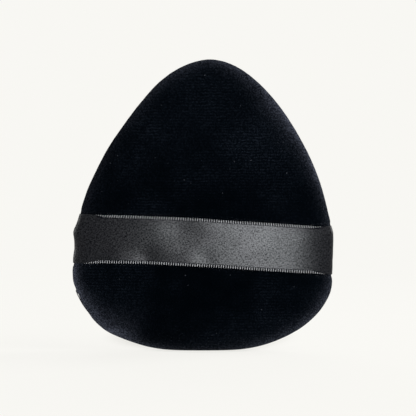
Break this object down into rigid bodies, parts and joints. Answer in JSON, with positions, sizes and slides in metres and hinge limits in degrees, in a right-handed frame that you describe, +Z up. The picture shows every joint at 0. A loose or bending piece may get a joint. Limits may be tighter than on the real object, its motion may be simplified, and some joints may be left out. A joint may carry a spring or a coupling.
{
  "type": "powder puff",
  "caption": "Soft egg-shaped velour powder puff for makeup: sewn covers over a foam core, with a satin ribbon across the back that lifts to let the fingers in.",
  "frame": {"origin": "on the ground under the middle of the puff, in the plane of the seam, which is the bottom centre of its box", "axes": "+Z up from the broad foot to the narrow top, +X to the right when the ribbon side is looked at, +Y from the ribbon side (back) to the powder side (front)"},
  "size_m": [0.0781, 0.0156, 0.087],
  "materials": {
    "velour": "matte",
    "satin_ribbon": "satin",
    "foam": "matte",
    "sewing_thread": "matte"
  },
  "bodies": {
    "puff": {"back_cover": "velour", "front_cover": "velour", "foam_core": "foam", "ribbon_end_left": "satin_ribbon", "ribbon_end_right": "satin_ribbon", "needle_thread": "sewing_thread", "bobbin_thread": "sewing_thread", "tack_thread_left": "sewing_thread", "tack_thread_right": "sewing_thread", "closing_thread": "sewing_thread"},
    "strap": {"ribbon_strap": "satin_ribbon"}
  },
  "joints": [
    {"name": "strap_lift", "type": "slide", "parent": "puff", "child": "strap", "axis": [0, -1, 0], "range_m": [0, 0.006], "stiffness_N_per_m": 60}
  ]
}
